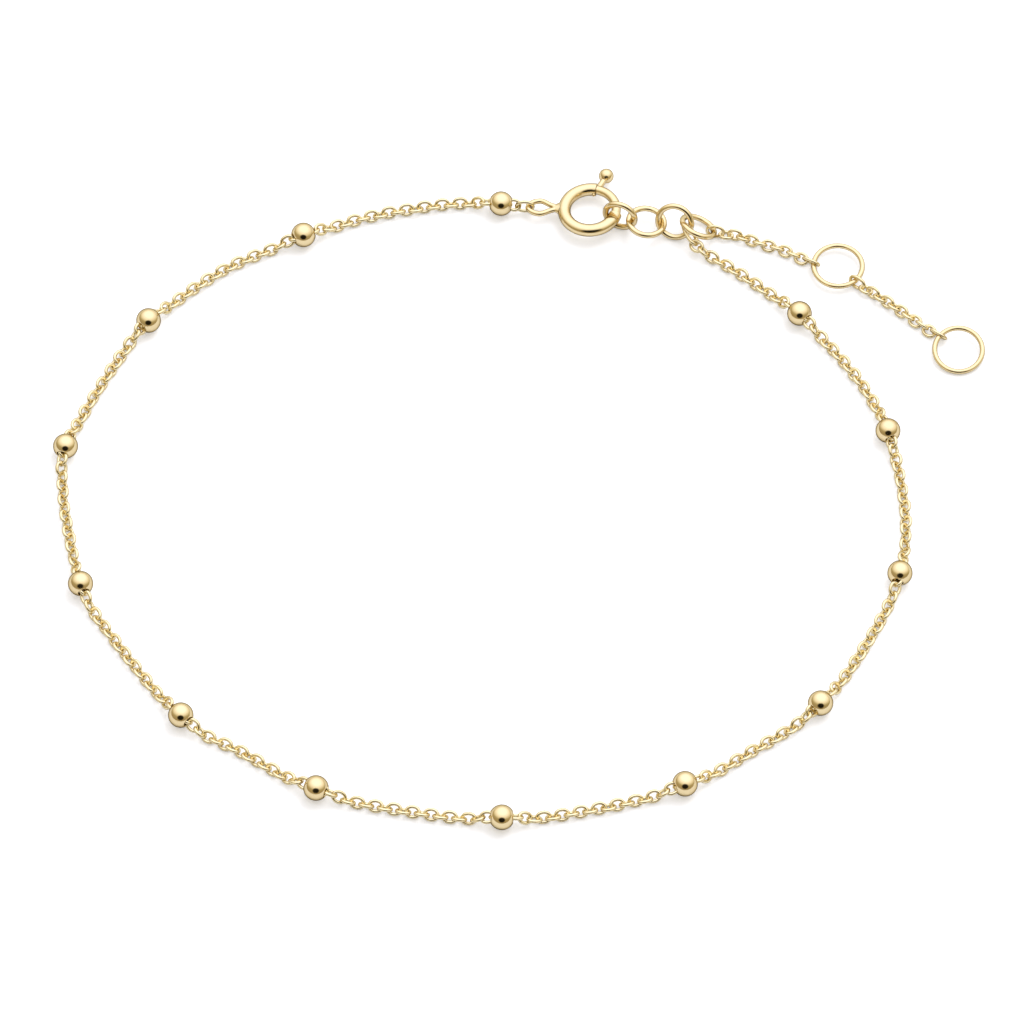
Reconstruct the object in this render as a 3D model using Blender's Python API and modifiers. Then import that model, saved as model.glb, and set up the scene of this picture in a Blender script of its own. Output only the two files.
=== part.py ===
"""Station bead bracelet: thirteen drilled gold balls on a fine cable chain.

A spring ring clasp and four jump rings close the loop, and a two-step extender hangs from the
last jump ring. The bracelet lies flat on a surface at Z = 0, with its clasp at the far side (+Y).
Driving sizes are in metres, written as millimetres times MM.
"""

import math

import bmesh
import bpy
from mathutils import Matrix, Vector

MM = 0.001

# Driving sizes of the pieces
BEAD_DIAMETER = 1.9 * MM
BEAD_HOLE = 0.8 * MM
CHAIN_WIDTH = 1.0 * MM
CHAIN_CORE = 0.4 * MM
LINK_LENGTH = 1.24 * MM
LINK_WIRE = 0.27 * MM
END_LINK_LENGTH = 1.55 * MM
END_LINK_WIDTH = 1.15 * MM
HOOK_LINK_LENGTH = 2.32 * MM
HOOK_LINK_WIDTH = 1.24 * MM
HOOK_LINK_WIRE = 0.32 * MM
JUMP_RING_WIRE = 0.42 * MM
EXTENDER_RING_WIRE = 0.4 * MM

CLASP_DIAMETER = 5.0 * MM
CLASP_TUBE = 0.96 * MM
CLASP_WALL = 0.08 * MM
BOLT_CLEARANCE = 0.05 * MM
POST_DIAMETER = 0.42 * MM
SLOT_CLEARANCE = 0.06 * MM
TRIGGER_BALL = 1.15 * MM
TRIGGER_REACH = 1.05 * MM
EYE_LENGTH = 2.6 * MM
EYE_WIDTH = 1.7 * MM
EYE_WIRE = 0.42 * MM
NECK_DIAMETER = 0.66 * MM

# Room between neighbours that touch on the real jewel, and how far soldered metal runs together
GAP = 0.06 * MM
SOLDER = 0.05 * MM
LINK_SOLDER = 0.02 * MM

# Angles round the clasp, counter-clockwise from its own +X
TUBE_START = math.radians(75.5)
TUBE_END = math.radians(345)
POST_ANGLE = math.radians(69)
EYE_ANGLE = math.radians(174)
BOLT_TRAVEL = math.radians(50)
BOLT_TIP_SEAT = math.radians(4)
BOLT_TAIL = math.radians(25)

# Fineness of the meshes
BEAD_SIDES = 16
BEAD_BANDS = 8
RING_SIDES = 24
RING_WIRE_SIDES = 8
LINK_STEPS = 12
CLASP_STEP = math.radians(10)
RUN_POINTS = 2
RAMP_LENGTH = 1.6 * MM
CUT_PAST_ENDS = math.radians(6)
NECK_SIDES = 10
POST_SIDES = 8
BALL_SIDES = 14
BALL_BANDS = 10
WELD_DISTANCE = 1e-7


def tilt(pitch, roll, yaw=0.0):
    """A turn in the piece's own plane, then its +X side lifted by pitch and +Y by roll, in degrees."""
    return (
        Matrix.Rotation(math.radians(roll), 4, "X")
        @ Matrix.Rotation(-math.radians(pitch), 4, "Y")
        @ Matrix.Rotation(math.radians(yaw), 4, "Z")
    )


# The clasp's tube runs through the first jump ring at RING_SEAT, which stays, so the clasp's
# centre, its eye and what hangs in the eye follow the clasp's and the eye's sizes.
CLASP_RADIUS = (CLASP_DIAMETER - CLASP_TUBE) / 2
CLASP_TURN = tilt(3.2, -4.2)
RING_SEAT = Vector((7.2156, 24.9592, 1.1747)) * MM
RING_SEAT_ANGLE = math.radians(-23.6)


def from_clasp_centre(distance, angle):
    """The way from the clasp's centre to a place in its plane."""
    return CLASP_TURN @ Vector((distance * math.cos(angle), distance * math.sin(angle), 0.0))


CLASP_CENTRE = RING_SEAT - from_clasp_centre(CLASP_RADIUS, RING_SEAT_ANGLE)
CLASP_PLACE = Matrix.Translation(CLASP_CENTRE) @ CLASP_TURN
EYE_END = CLASP_CENTRE + from_clasp_centre(CLASP_DIAMETER / 2 + EYE_LENGTH - SOLDER, EYE_ANGLE)
END_LINK_PLACE = EYE_END / MM + Vector((-0.0355, -0.0059, 0.0383))
FIRST_BEAD_PLACE = EYE_END / MM + Vector((-1.8755, 0.1141, 0.0))

# The chain's way round, from the bead beside the clasp to its last link, in millimetres.
# A point marked BEAD carries a ball, one marked BARE only guides the chain.
BEAD, BARE = True, False
CHAIN_ROUTE = [
    (*FIRST_BEAD_PLACE.xy, BEAD), (-4.70, 26.72, BARE), (-9.10, 26.10, BARE), (-13.05, 25.10, BARE),
    (-16.85, 23.46, BEAD), (-22.95, 20.55, BARE), (-28.65, 15.53, BEAD), (-31.90, 10.40, BARE),
    (-34.69, 4.08, BEAD), (-34.80, 0.40, BARE), (-34.50, -2.00, BARE), (-33.19, -8.19, BEAD),
    (-31.20, -11.90, BARE), (-25.39, -19.69, BEAD), (-20.80, -22.60, BARE), (-15.23, -25.96, BEAD),
    (-9.35, -27.50, BARE), (-1.45, -28.46, BEAD), (5.60, -27.45, BARE), (12.13, -25.60, BEAD),
    (17.05, -22.60, BARE), (22.32, -18.65, BEAD), (26.40, -12.30, BARE), (28.54, -7.26, BEAD),
    (29.10, -1.50, BARE), (27.96, 5.48, BEAD), (25.65, 10.70, BARE), (21.42, 16.18, BEAD),
    (17.00, 20.10, BARE), (13.90, 22.35, BARE),
]

# The two stretches of the extender, through the centres of their links, in millimetres
EXTENDER_ROUTES = {
    "extender_chain_1": [(15.06, 24.06), (16.84, 23.70), (18.31, 23.07), (20.05, 22.50), (22.43, 21.25)],
    "extender_chain_2": [(25.95, 19.29), (27.81, 17.91), (29.45, 16.60), (31.05, 15.25), (32.08, 14.53)],
}

# Rings: name, outer diameter, wire, centre in millimetres, pitch and roll in degrees.
# Pitch lifts the +X side, roll lifts the far (+Y) side.
RINGS = [
    ("jump_ring_1", 2.85 * MM, JUMP_RING_WIRE, (7.68, 24.95, 1.41), 19, 79.5),
    ("jump_ring_2", 3.20 * MM, JUMP_RING_WIRE, (9.72, 24.51, 1.19), -6, -6.5),
    ("jump_ring_3", 3.10 * MM, JUMP_RING_WIRE, (11.90, 24.40, 1.37), 13.5, 59),
    ("jump_ring_4", 3.10 * MM, JUMP_RING_WIRE, (13.73, 24.17, 1.04), -22, -25),
    ("extender_ring_1", 4.17 * MM, EXTENDER_RING_WIRE, (24.50, 20.83, 0.55), 0, 0),
    ("extender_ring_2", 4.07 * MM, EXTENDER_RING_WIRE, (33.59, 13.12, 0.50), 0, 9),
]

# Single links: name, length, width, wire, centre in millimetres, pitch, roll and yaw in degrees
SINGLE_LINKS = [
    ("chain_end_link", END_LINK_LENGTH, END_LINK_WIDTH, LINK_WIRE, END_LINK_PLACE, 2, 74, 0),
    ("chain_hook_link", HOOK_LINK_LENGTH, HOOK_LINK_WIDTH, HOOK_LINK_WIRE,
     (13.11, 23.53, 0.91), -35.5, -17.5, -63),
]

EXTENDER_END_ROLL = math.radians(68)
EXTENDER_HEIGHT = 0.55 * MM


# Scene, collections and materials
def clear_scene():
    for old in list(bpy.data.objects):
        bpy.data.objects.remove(old, do_unlink=True)


def new_collection(name):
    collection = bpy.data.collections.new(name)
    bpy.context.scene.collection.children.link(collection)
    return collection


def gold(name, colour, roughness):
    material = bpy.data.materials.new(name)
    material.use_nodes = True
    shader = material.node_tree.nodes["Principled BSDF"]
    shader.inputs["Base Color"].default_value = (*colour, 1.0)
    shader.inputs["Metallic"].default_value = 1.0
    shader.inputs["Roughness"].default_value = roughness
    return material


def move_to(obj, collection):
    for old in list(obj.users_collection):
        old.objects.unlink(obj)
    collection.objects.link(obj)


def finish_part(obj, material):
    """Put a finished piece in the bracelet's collection with its metal and smooth shading."""
    move_to(obj, JEWEL)
    obj.data.materials.clear()
    obj.data.materials.append(material)
    obj.data.shade_smooth()
    return obj


def finish_cutter(obj):
    """Keep a shape that only joins or cuts another one out of the model."""
    move_to(obj, CUTTERS)
    obj.hide_render = True
    obj.display_type = "WIRE"
    return obj


# Curves, tubes and Booleans
def tube(name, points, radius, resolution, cyclic=False, shares=None):
    """A round wire along the points; shares thin it at each point."""
    curve = bpy.data.curves.new(name, "CURVE")
    curve.dimensions = "3D"
    curve.bevel_depth = radius
    curve.bevel_resolution = resolution
    curve.use_fill_caps = not cyclic
    spline = curve.splines.new("POLY")
    spline.points.add(len(points) - 1)
    for i, (spot, place) in enumerate(zip(spline.points, points)):
        spot.co = (*place, 1.0)
        spot.radius = shares[i] if shares else 1.0
    spline.use_cyclic_u = cyclic
    obj = bpy.data.objects.new(name, curve)
    bpy.context.scene.collection.objects.link(obj)
    return obj


def as_mesh(obj):
    """Turn a curve object into a mesh object with welded caps, in the same place."""
    bpy.context.view_layer.update()
    evaluated = obj.evaluated_get(bpy.context.evaluated_depsgraph_get())
    mesh = bpy.data.meshes.new_from_object(evaluated)
    work = bmesh.new()
    work.from_mesh(mesh)
    bmesh.ops.remove_doubles(work, verts=work.verts, dist=WELD_DISTANCE)
    work.to_mesh(mesh)
    work.free()
    name = obj.name
    placed = obj.matrix_world.copy()
    bpy.data.objects.remove(obj, do_unlink=True)
    result = bpy.data.objects.new(name, mesh)
    bpy.context.scene.collection.objects.link(result)
    result.matrix_world = placed
    return result


def boolean(target, other, operation):
    modifier = target.modifiers.new(operation.lower(), "BOOLEAN")
    modifier.operation = operation
    modifier.solver = "EXACT"
    if isinstance(other, bpy.types.Collection):
        modifier.operand_type = "COLLECTION"
        modifier.collection = other
    else:
        modifier.object = other


def arc(radius, start, end, step):
    count = max(2, math.ceil((end - start) / step))
    angles = [start + (end - start) * i / count for i in range(count + 1)]
    return [(radius * math.cos(a), radius * math.sin(a), 0.0) for a in angles]


def oval(half_length, half_width, steps):
    """Points of a link's centre line: an ellipse in the XY plane, long way along X."""
    turns = [2 * math.pi * i / steps for i in range(steps)]
    return [(half_length * math.cos(t), half_width * math.sin(t), 0.0) for t in turns]


# Routes
def smooth_route(points, samples=24):
    """A Catmull-Rom curve through the points, as dense places and their distances along it."""
    spots = [Vector(p) for p in points]
    spots = [2 * spots[0] - spots[1], *spots, 2 * spots[-1] - spots[-2]]
    places = []
    for a, b, c, d in zip(spots, spots[1:], spots[2:], spots[3:]):
        for i in range(samples):
            t = i / samples
            places.append(
                0.5 * (2 * b + (c - a) * t + (2 * a - 5 * b + 4 * c - d) * t * t
                       + (3 * b - a - 3 * c + d) * t * t * t)
            )
    places.append(spots[-2])
    distances = [0.0]
    for before, after in zip(places, places[1:]):
        distances.append(distances[-1] + (after - before).length)
    return places, distances


def along(route, distance):
    """Place and direction at a distance along a route, straight on past its ends."""
    places, distances = route
    last = len(places) - 2
    index = next((i for i in range(last) if distances[i + 1] > distance), last)
    direction = (places[index + 1] - places[index]).normalized()
    return places[index] + direction * (distance - distances[index]), direction


def ease(share):
    share = min(max(share, 0.0), 1.0)
    return share * share * (3 - 2 * share)


# Beads and main chain
def bead(name, place, direction, material):
    """A turned ball with a hole drilled along the chain."""
    radius = BEAD_DIAMETER / 2
    rim = math.asin(BEAD_HOLE / BEAD_DIAMETER)
    angles = [rim + (math.pi - 2 * rim) * i / BEAD_BANDS for i in range(BEAD_BANDS + 1)]
    profile = [(radius * math.sin(a), 0.0, radius * math.cos(a)) for a in angles]
    edges = [(i, (i + 1) % len(profile)) for i in range(len(profile))]
    mesh = bpy.data.meshes.new(name)
    mesh.from_pydata(profile, edges, [])
    obj = bpy.data.objects.new(name, mesh)
    bpy.context.scene.collection.objects.link(obj)
    screw = obj.modifiers.new("turned", "SCREW")
    screw.axis = "Z"
    screw.steps = BEAD_SIDES
    screw.render_steps = BEAD_SIDES
    screw.use_merge_vertices = True
    screw.merge_threshold = WELD_DISTANCE
    obj.location = place
    obj.rotation_mode = "QUATERNION"
    obj.rotation_quaternion = direction.to_track_quat("Z", "Y")
    return finish_part(obj, material)


def chain_height(distance, stations):
    """The chain lies on the surface and climbs to each ball's hole."""
    rest = CHAIN_WIDTH / 2
    nearest = min(abs(distance - station) for station in stations)
    climb = ease(1 - (nearest - BEAD_DIAMETER / 2) / RAMP_LENGTH)
    return rest + (BEAD_DIAMETER / 2 - rest) * climb


def main_chain(material):
    """The balls, and one tube for the cable chain that runs through them."""
    route = smooth_route([(x * MM, y * MM, 0.0) for x, y, _ in CHAIN_ROUTE])
    samples = (len(route[0]) - 1) // (len(CHAIN_ROUTE) - 1)
    stations = [route[1][i * samples] for i, (_, _, kind) in enumerate(CHAIN_ROUTE) if kind is BEAD]
    for number, station in enumerate(stations, 1):
        place, direction = along(route, station)
        place.z = BEAD_DIAMETER / 2
        bead(f"station_bead_{number:02d}", place, direction, BEAD_GOLD)

    shoulder = BEAD_DIAMETER / 2 + GAP
    waist = shoulder - (CHAIN_WIDTH - CHAIN_CORE) / 4
    thin = CHAIN_CORE / CHAIN_WIDTH
    marks = [(stations[0] - BEAD_DIAMETER / 2, thin)]
    runs = list(zip(stations, stations[1:] + [route[1][-1] + shoulder]))
    for start, end in runs:
        inner = [
            start + shoulder + (end - start - 2 * shoulder) * i / (RUN_POINTS + 1)
            for i in range(RUN_POINTS + 2)
        ]
        marks += [(start + waist, thin), *((s, 1.0) for s in inner), (end - waist, thin)]
    marks.pop()
    points = []
    for distance, _ in marks:
        place, _ = along(route, distance)
        place.z = chain_height(distance, stations)
        points.append(place)
    obj = as_mesh(tube("main_chain", points, CHAIN_WIDTH / 2, 2, shares=[share for _, share in marks]))
    return finish_part(obj, material)


# Rings and links
def ring(name, diameter, wire, centre, pitch, roll, material):
    bpy.ops.mesh.primitive_torus_add(
        major_radius=(diameter - wire) / 2,
        minor_radius=wire / 2,
        major_segments=RING_SIDES,
        minor_segments=RING_WIRE_SIDES,
    )
    obj = bpy.context.object
    obj.name = name
    obj.data.name = name
    obj.matrix_world = Matrix.Translation(Vector(centre) * MM) @ tilt(pitch, roll)
    return finish_part(obj, material)


def link(name, length, width, wire):
    """One oval link as a closed mesh at the origin, long way along X."""
    points = oval((length - wire) / 2, (width - wire) / 2, LINK_STEPS)
    return as_mesh(tube(name, points, wire / 2, 1, cyclic=True))


def single_link(name, length, width, wire, centre, pitch, roll, yaw, material):
    obj = link(name, length, width, wire)
    obj.matrix_world = Matrix.Translation(Vector(centre) * MM) @ tilt(pitch, roll, yaw)
    return finish_part(obj, material)


def extender_chain(name, points, material):
    """Links that interlock along a route, each soldered to the next where they bear."""
    route = smooth_route([(x * MM, y * MM, EXTENDER_HEIGHT) for x, y in points])
    length = route[1][-1]
    inner_half = LINK_LENGTH / 2 - LINK_WIRE
    inner_end_half = END_LINK_LENGTH / 2 - LINK_WIRE
    step = 2 * inner_half + LINK_SOLDER
    end_step = inner_half + inner_end_half + LINK_SOLDER
    middle_steps = max(1, int((length - 2 * end_step) / step))
    stretch = length / (2 * end_step + middle_steps * step)
    steps = [end_step, *[step] * middle_steps, end_step]
    distances = [0.0]
    for one in steps:
        distances.append(distances[-1] + one * stretch)

    # Each link stands a quarter turn from the last, with a little twist so both ends stand up
    quarter = math.pi / 2
    count = len(distances)
    off = (-EXTENDER_END_ROLL - EXTENDER_END_ROLL - quarter * (count - 1)) % math.pi
    twist = (off if off < quarter else off - math.pi) / (count - 1)

    joined = new_collection(name + "_links")
    obj = None
    for number, distance in enumerate(distances):
        place, direction = along(route, distance)
        at_end = number in (0, count - 1)
        size = (END_LINK_LENGTH, END_LINK_WIDTH) if at_end else (LINK_LENGTH, CHAIN_WIDTH)
        piece = link(f"{name}_link_{number + 1:02d}", *size, LINK_WIRE)
        roll = EXTENDER_END_ROLL + number * (quarter + twist)
        heading = math.atan2(direction.y, direction.x)
        piece.matrix_world = (
            Matrix.Translation(place)
            @ Matrix.Rotation(heading, 4, "Z")
            @ Matrix.Rotation(roll, 4, "X")
        )
        if obj is None:
            obj = piece
            obj.name = name
        else:
            finish_cutter(piece)
            move_to(piece, joined)
    boolean(obj, joined, "UNION")
    return finish_part(obj, material)


# Clasp
BORE_RADIUS = CLASP_TUBE / 2 - CLASP_WALL
BOLT_RADIUS = BORE_RADIUS - BOLT_CLEARANCE


def rod(name, start, length, angle, diameter, sides):
    """A straight round rod in the clasp's plane, outward from a distance at an angle."""
    bpy.ops.mesh.primitive_cylinder_add(vertices=sides, radius=diameter / 2, depth=length)
    obj = bpy.context.object
    obj.name = name
    outward = Matrix.Rotation(angle, 4, "Z")
    centre = Matrix.Translation((start + length / 2, 0, 0))
    obj.matrix_world = CLASP_PLACE @ outward @ centre @ Matrix.Rotation(math.pi / 2, 4, "Y")
    return obj


def clasp_body(material):
    """The hollow C-shaped tube with the trigger's slot, its neck and the oval eye."""
    body = as_mesh(tube("clasp_body", arc(CLASP_RADIUS, TUBE_START, TUBE_END, CLASP_STEP),
                        CLASP_TUBE / 2, 3))
    body.matrix_world = CLASP_PLACE

    bore = as_mesh(tube("clasp_bore", arc(CLASP_RADIUS, TUBE_START - CUT_PAST_ENDS, TUBE_END + CUT_PAST_ENDS,
                                          CLASP_STEP), BORE_RADIUS, 3))
    bore.matrix_world = CLASP_PLACE

    slot_radius = POST_DIAMETER / 2 + SLOT_CLEARANCE
    slot_path = CLASP_RADIUS + CLASP_TUBE / 2 - CLASP_WALL / 2
    post_half = slot_radius / CLASP_RADIUS
    slot = as_mesh(tube("clasp_slot", arc(slot_path, TUBE_START - CUT_PAST_ENDS,
                                          POST_ANGLE + BOLT_TRAVEL + post_half, CLASP_STEP),
                        slot_radius, 2))
    slot.matrix_world = CLASP_PLACE

    eye_distance = CLASP_DIAMETER / 2 + EYE_LENGTH / 2 - SOLDER
    eye_line = oval((EYE_LENGTH - EYE_WIRE) / 2, (EYE_WIDTH - EYE_WIRE) / 2, 2 * LINK_STEPS)
    eye = as_mesh(tube("clasp_eye", eye_line, EYE_WIRE / 2, 2, cyclic=True))
    toward_eye = Matrix.Rotation(EYE_ANGLE, 4, "Z") @ Matrix.Translation((eye_distance, 0, 0))
    eye.matrix_world = CLASP_PLACE @ toward_eye

    neck = rod("clasp_neck", CLASP_DIAMETER / 2 - SOLDER, EYE_WIRE + SOLDER, EYE_ANGLE,
               NECK_DIAMETER, NECK_SIDES)

    for piece, operation in ((eye, "UNION"), (neck, "UNION"), (bore, "DIFFERENCE"), (slot, "DIFFERENCE")):
        finish_cutter(piece)
        boolean(body, piece, operation)
    return finish_part(body, material)


def clasp_bolt(material):
    """The sliding bolt with its trigger, whose origin is on the ring's axis, which it turns about."""
    start = TUBE_END - 2 * math.pi - BOLT_TIP_SEAT
    bolt = as_mesh(tube("clasp_bolt", arc(CLASP_RADIUS, start, TUBE_START + BOLT_TAIL, CLASP_STEP),
                        BOLT_RADIUS, 2))
    bolt.matrix_world = CLASP_PLACE
    ball_distance = CLASP_DIAMETER / 2 + TRIGGER_REACH
    post = rod("trigger_post", CLASP_RADIUS, ball_distance - CLASP_RADIUS, POST_ANGLE,
               POST_DIAMETER, POST_SIDES)
    bpy.ops.mesh.primitive_uv_sphere_add(segments=BALL_SIDES, ring_count=BALL_BANDS, radius=TRIGGER_BALL / 2)
    ball = bpy.context.object
    ball.name = "trigger_ball"
    ball.matrix_world = (
        CLASP_PLACE @ Matrix.Rotation(POST_ANGLE, 4, "Z") @ Matrix.Translation((ball_distance, 0, 0))
    )
    for piece in (post, ball):
        finish_cutter(piece)
        boolean(bolt, piece, "UNION")
    return finish_part(bolt, material)


clear_scene()
JEWEL = new_collection("station bead bracelet")
CUTTERS = new_collection("cutters")
BEAD_GOLD = gold("bead gold", (0.90, 0.70, 0.36), 0.08)
CHAIN_GOLD = gold("chain gold", (0.88, 0.64, 0.28), 0.15)
RING_GOLD = gold("ring gold", (0.90, 0.70, 0.36), 0.10)
CLASP_GOLD = gold("clasp gold", (0.91, 0.72, 0.40), 0.12)
BOLT_GOLD = gold("bolt gold", (0.90, 0.69, 0.35), 0.10)

main_chain(CHAIN_GOLD)
clasp_body(CLASP_GOLD)
clasp_bolt(BOLT_GOLD)
for ring_row in RINGS:
    ring(*ring_row, RING_GOLD)
for link_row in SINGLE_LINKS:
    single_link(*link_row, CHAIN_GOLD)
for chain_name, chain_points in EXTENDER_ROUTES.items():
    extender_chain(chain_name, chain_points, CHAIN_GOLD)
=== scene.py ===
"""Dresses the station bead bracelet: true cable links, turned beads, clasp, rings and studio."""

import math
import random

import bmesh
import bpy
import numpy as np
from bpy.props import FloatProperty, FloatVectorProperty, IntProperty, PointerProperty
from mathutils import Matrix, Vector


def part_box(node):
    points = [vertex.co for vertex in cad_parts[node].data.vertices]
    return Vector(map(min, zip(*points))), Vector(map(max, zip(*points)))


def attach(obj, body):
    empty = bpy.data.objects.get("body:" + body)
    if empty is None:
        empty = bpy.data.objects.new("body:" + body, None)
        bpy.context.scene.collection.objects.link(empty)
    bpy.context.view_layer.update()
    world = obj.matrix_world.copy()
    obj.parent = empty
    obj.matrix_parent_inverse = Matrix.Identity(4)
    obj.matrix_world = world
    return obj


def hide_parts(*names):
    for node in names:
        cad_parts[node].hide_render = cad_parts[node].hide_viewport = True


bl_info = {
    "name": "Station Bead Bracelet",
    "version": (1, 0, 0),
    "blender": (4, 5, 0),
    "location": "3D View > Sidebar > Bracelet",
    "description": "Makes a fine gold cable chain bracelet with round station beads",
    "category": "Object",
}

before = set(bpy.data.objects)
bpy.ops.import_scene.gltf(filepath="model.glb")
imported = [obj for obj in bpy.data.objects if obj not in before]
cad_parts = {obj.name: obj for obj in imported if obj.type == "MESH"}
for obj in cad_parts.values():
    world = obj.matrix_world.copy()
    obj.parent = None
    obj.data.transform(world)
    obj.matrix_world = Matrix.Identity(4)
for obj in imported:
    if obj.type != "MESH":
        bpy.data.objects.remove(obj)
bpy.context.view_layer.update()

MM = 0.001
MAIN_BODY, BOLT_BODY = "bracelet", "bolt"
BEAD_NODES = sorted(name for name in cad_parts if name.startswith("station_bead_"))

# The chain's way round in millimetres, as its solid follows it: from the bead beside the clasp
# to the link that hooks the third jump ring. A point marked BEAD carries a ball.
BEAD, BARE = True, False
CHAIN_ROUTE = [
    (-1.55, 26.39, BEAD), (-4.70, 26.72, BARE), (-9.10, 26.10, BARE), (-13.05, 25.10, BARE),
    (-16.85, 23.46, BEAD), (-22.95, 20.55, BARE), (-28.65, 15.53, BEAD), (-31.90, 10.40, BARE),
    (-34.69, 4.08, BEAD), (-34.80, 0.40, BARE), (-34.50, -2.00, BARE), (-33.19, -8.19, BEAD),
    (-31.20, -11.90, BARE), (-25.39, -19.69, BEAD), (-20.80, -22.60, BARE), (-15.23, -25.96, BEAD),
    (-9.35, -27.50, BARE), (-1.45, -28.46, BEAD), (5.60, -27.45, BARE), (12.13, -25.60, BEAD),
    (17.05, -22.60, BARE), (22.32, -18.65, BEAD), (26.40, -12.30, BARE), (28.54, -7.26, BEAD),
    (29.10, -1.50, BARE), (27.96, 5.48, BEAD), (25.65, 10.70, BARE), (21.42, 16.18, BEAD),
    (17.00, 20.10, BARE), (13.58, 22.44, BARE),
]

# The extender's two stretches, through the centres of their end links, in millimetres
EXTENDER_ROUTES = {
    "extender_chain_1": [
        (15.06, 24.06), (16.84, 23.70), (18.31, 23.07), (20.05, 22.50), (22.43, 21.25),
    ],
    "extender_chain_2": [
        (25.95, 19.29), (27.81, 17.91), (29.45, 16.60), (31.05, 15.25), (32.08, 14.53),
    ],
}

# Rings: outer diameter, wire and centre in millimetres, then pitch and roll in degrees
RINGS = {
    "jump_ring_1": (2.84, 0.46, (7.68, 24.95, 1.41), 19, 79.5),
    "jump_ring_2": (3.20, 0.46, (9.72, 24.51, 1.19), -6, -6.5),
    "jump_ring_3": (3.09, 0.46, (11.90, 24.40, 1.37), 13.5, 59),
    "jump_ring_4": (3.10, 0.46, (13.73, 24.17, 1.04), -22, -25),
    "extender_ring_1": (4.17, 0.40, (24.50, 20.83, 0.55), 0, 0),
    "extender_ring_2": (4.07, 0.40, (33.59, 13.12, 0.50), 0, 9),
}

# Single links: length, width, wire and centre in millimetres, then pitch, roll and yaw in degrees
SINGLE_LINKS = {
    "chain_end_link": (1.55, 1.15, 0.27, (0.29, 26.27, 0.73), 2, 74, 0),
    "chain_hook_link": (2.32, 1.24, 0.32, (13.11, 23.53, 0.91), -35.5, -17.5, -63),
}

CLASP_CENTRE = Vector((5.3674, 25.7582, 1.0124)) * MM
CLASP_PITCH, CLASP_ROLL = 3.2, -4.2

# Height of the chain's last link, and the point that the camera looks at
HOOK_HEIGHT = 0.93 * MM
PHOTO_TARGET = Vector((-0.70, -1.25, 0.0)) * MM


def length(name, description, default):
    return FloatProperty(name=name, description=description, default=default, min=0.0,
                         unit="LENGTH", subtype="DISTANCE", precision=5)


def angle(name, description, degrees):
    return FloatProperty(name=name, description=description, default=math.radians(degrees),
                         subtype="ANGLE")


def share(name, description, default):
    return FloatProperty(name=name, description=description, default=default, min=0.0, max=1.0,
                         subtype="FACTOR")


def colour(name, description, default):
    return FloatVectorProperty(name=name, description=description, default=default, size=3,
                               min=0.0, max=1.0, subtype="COLOR")


class BraceletChainSizes(bpy.types.PropertyGroup):
    """Sizes of the cable chain and its links."""

    link_length: length("Link length", "Outer length of a cable link", 1.24 * MM)
    link_width: length("Link width", "Outer width of a cable link", 1.04 * MM)
    link_wire: length("Link wire", "Thickness of a link's wire", 0.27 * MM)
    end_length: length("End link length", "Outer length of an extender's end links", 1.55 * MM)
    end_width: length("End link width", "Outer width of an extender's end links", 1.15 * MM)
    lean: angle("Lean", "How far each link leans to its side", 39)
    spread: length("Spread", "How far each link lies to the side that it leans to", 0.045 * MM)
    wobble: angle("Wobble", "Most that a link strays from its lean", 9)
    climb: length("Climb", "Length over which the chain rises to a bead", 1.6 * MM)
    link_steps: IntProperty(name="Link steps", description="Steps round a link", default=28,
                            min=8)
    wire_sides: IntProperty(name="Wire sides", description="Sides of a link's wire", default=10,
                            min=6)


class BraceletBeadSizes(bpy.types.PropertyGroup):
    """Sizes of the station beads."""

    diameter: length("Diameter", "Outer diameter of a station bead", 1.90 * MM)
    hole: length("Hole", "Diameter of the drilled hole", 0.84 * MM)
    rim: length("Rim", "Rounding of the hole's edge", 0.05 * MM)
    sides: IntProperty(name="Sides", description="Steps round a bead", default=64, min=16)
    bands: IntProperty(name="Bands", description="Steps from hole to hole", default=36, min=8)


class BraceletClaspSizes(bpy.types.PropertyGroup):
    """Sizes of the spring ring clasp."""

    diameter: length("Diameter", "Outer diameter of the ring", 5.02 * MM)
    tube: length("Tube", "Thickness of the hollow tube", 0.98 * MM)
    wall: length("Wall", "Thickness of the tube's wall", 0.08 * MM)
    clearance: length("Clearance", "Room round the bolt in the tube", 0.05 * MM)
    rounding: length("Rounding", "Rounding of the tube's cut ends", 0.04 * MM)
    post: length("Post", "Thickness of the trigger's post", 0.46 * MM)
    slot_room: length("Slot room", "Room on each side of the post in its slot", 0.09 * MM)
    ball: length("Ball", "Diameter of the trigger's ball", 1.15 * MM)
    reach: length("Reach", "Distance of the ball's centre from the tube", 1.03 * MM)
    eye_length: length("Eye length", "Outer length of the soldered eye", 2.6 * MM)
    eye_width: length("Eye width", "Outer width of the soldered eye", 1.7 * MM)
    eye_wire: length("Eye wire", "Thickness of the eye's wire", 0.42 * MM)
    tube_start: angle("Tube start", "Where the tube starts, round from its own +X", 75.5)
    tube_end: angle("Tube end", "Where the tube ends", 345)
    post_angle: angle("Post angle", "Where the trigger stands", 69)
    eye_angle: angle("Eye angle", "Where the eye is soldered", 174)
    travel: angle("Travel", "How far the bolt slides", 50)


class BraceletFinish(bpy.types.PropertyGroup):
    """Colours and polish of the gold."""

    bright: colour("Bright gold", "Colour of clean polished gold", (0.940, 0.775, 0.455))
    deep: colour("Deep gold", "Colour where the gold is handled", (0.900, 0.700, 0.380))
    # Chain gold is paler than the bright gold: painted light, lightening the links against the
    # deeper tone that light bounced between them gives.
    chain: colour("Chain gold", "Colour of the drawn wire of the links", (0.985, 0.862, 0.545))
    polish: share("Polish", "Roughness of the best polished surface", 0.07)
    haze: share("Haze", "Roughness added by handling", 0.10)


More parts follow.
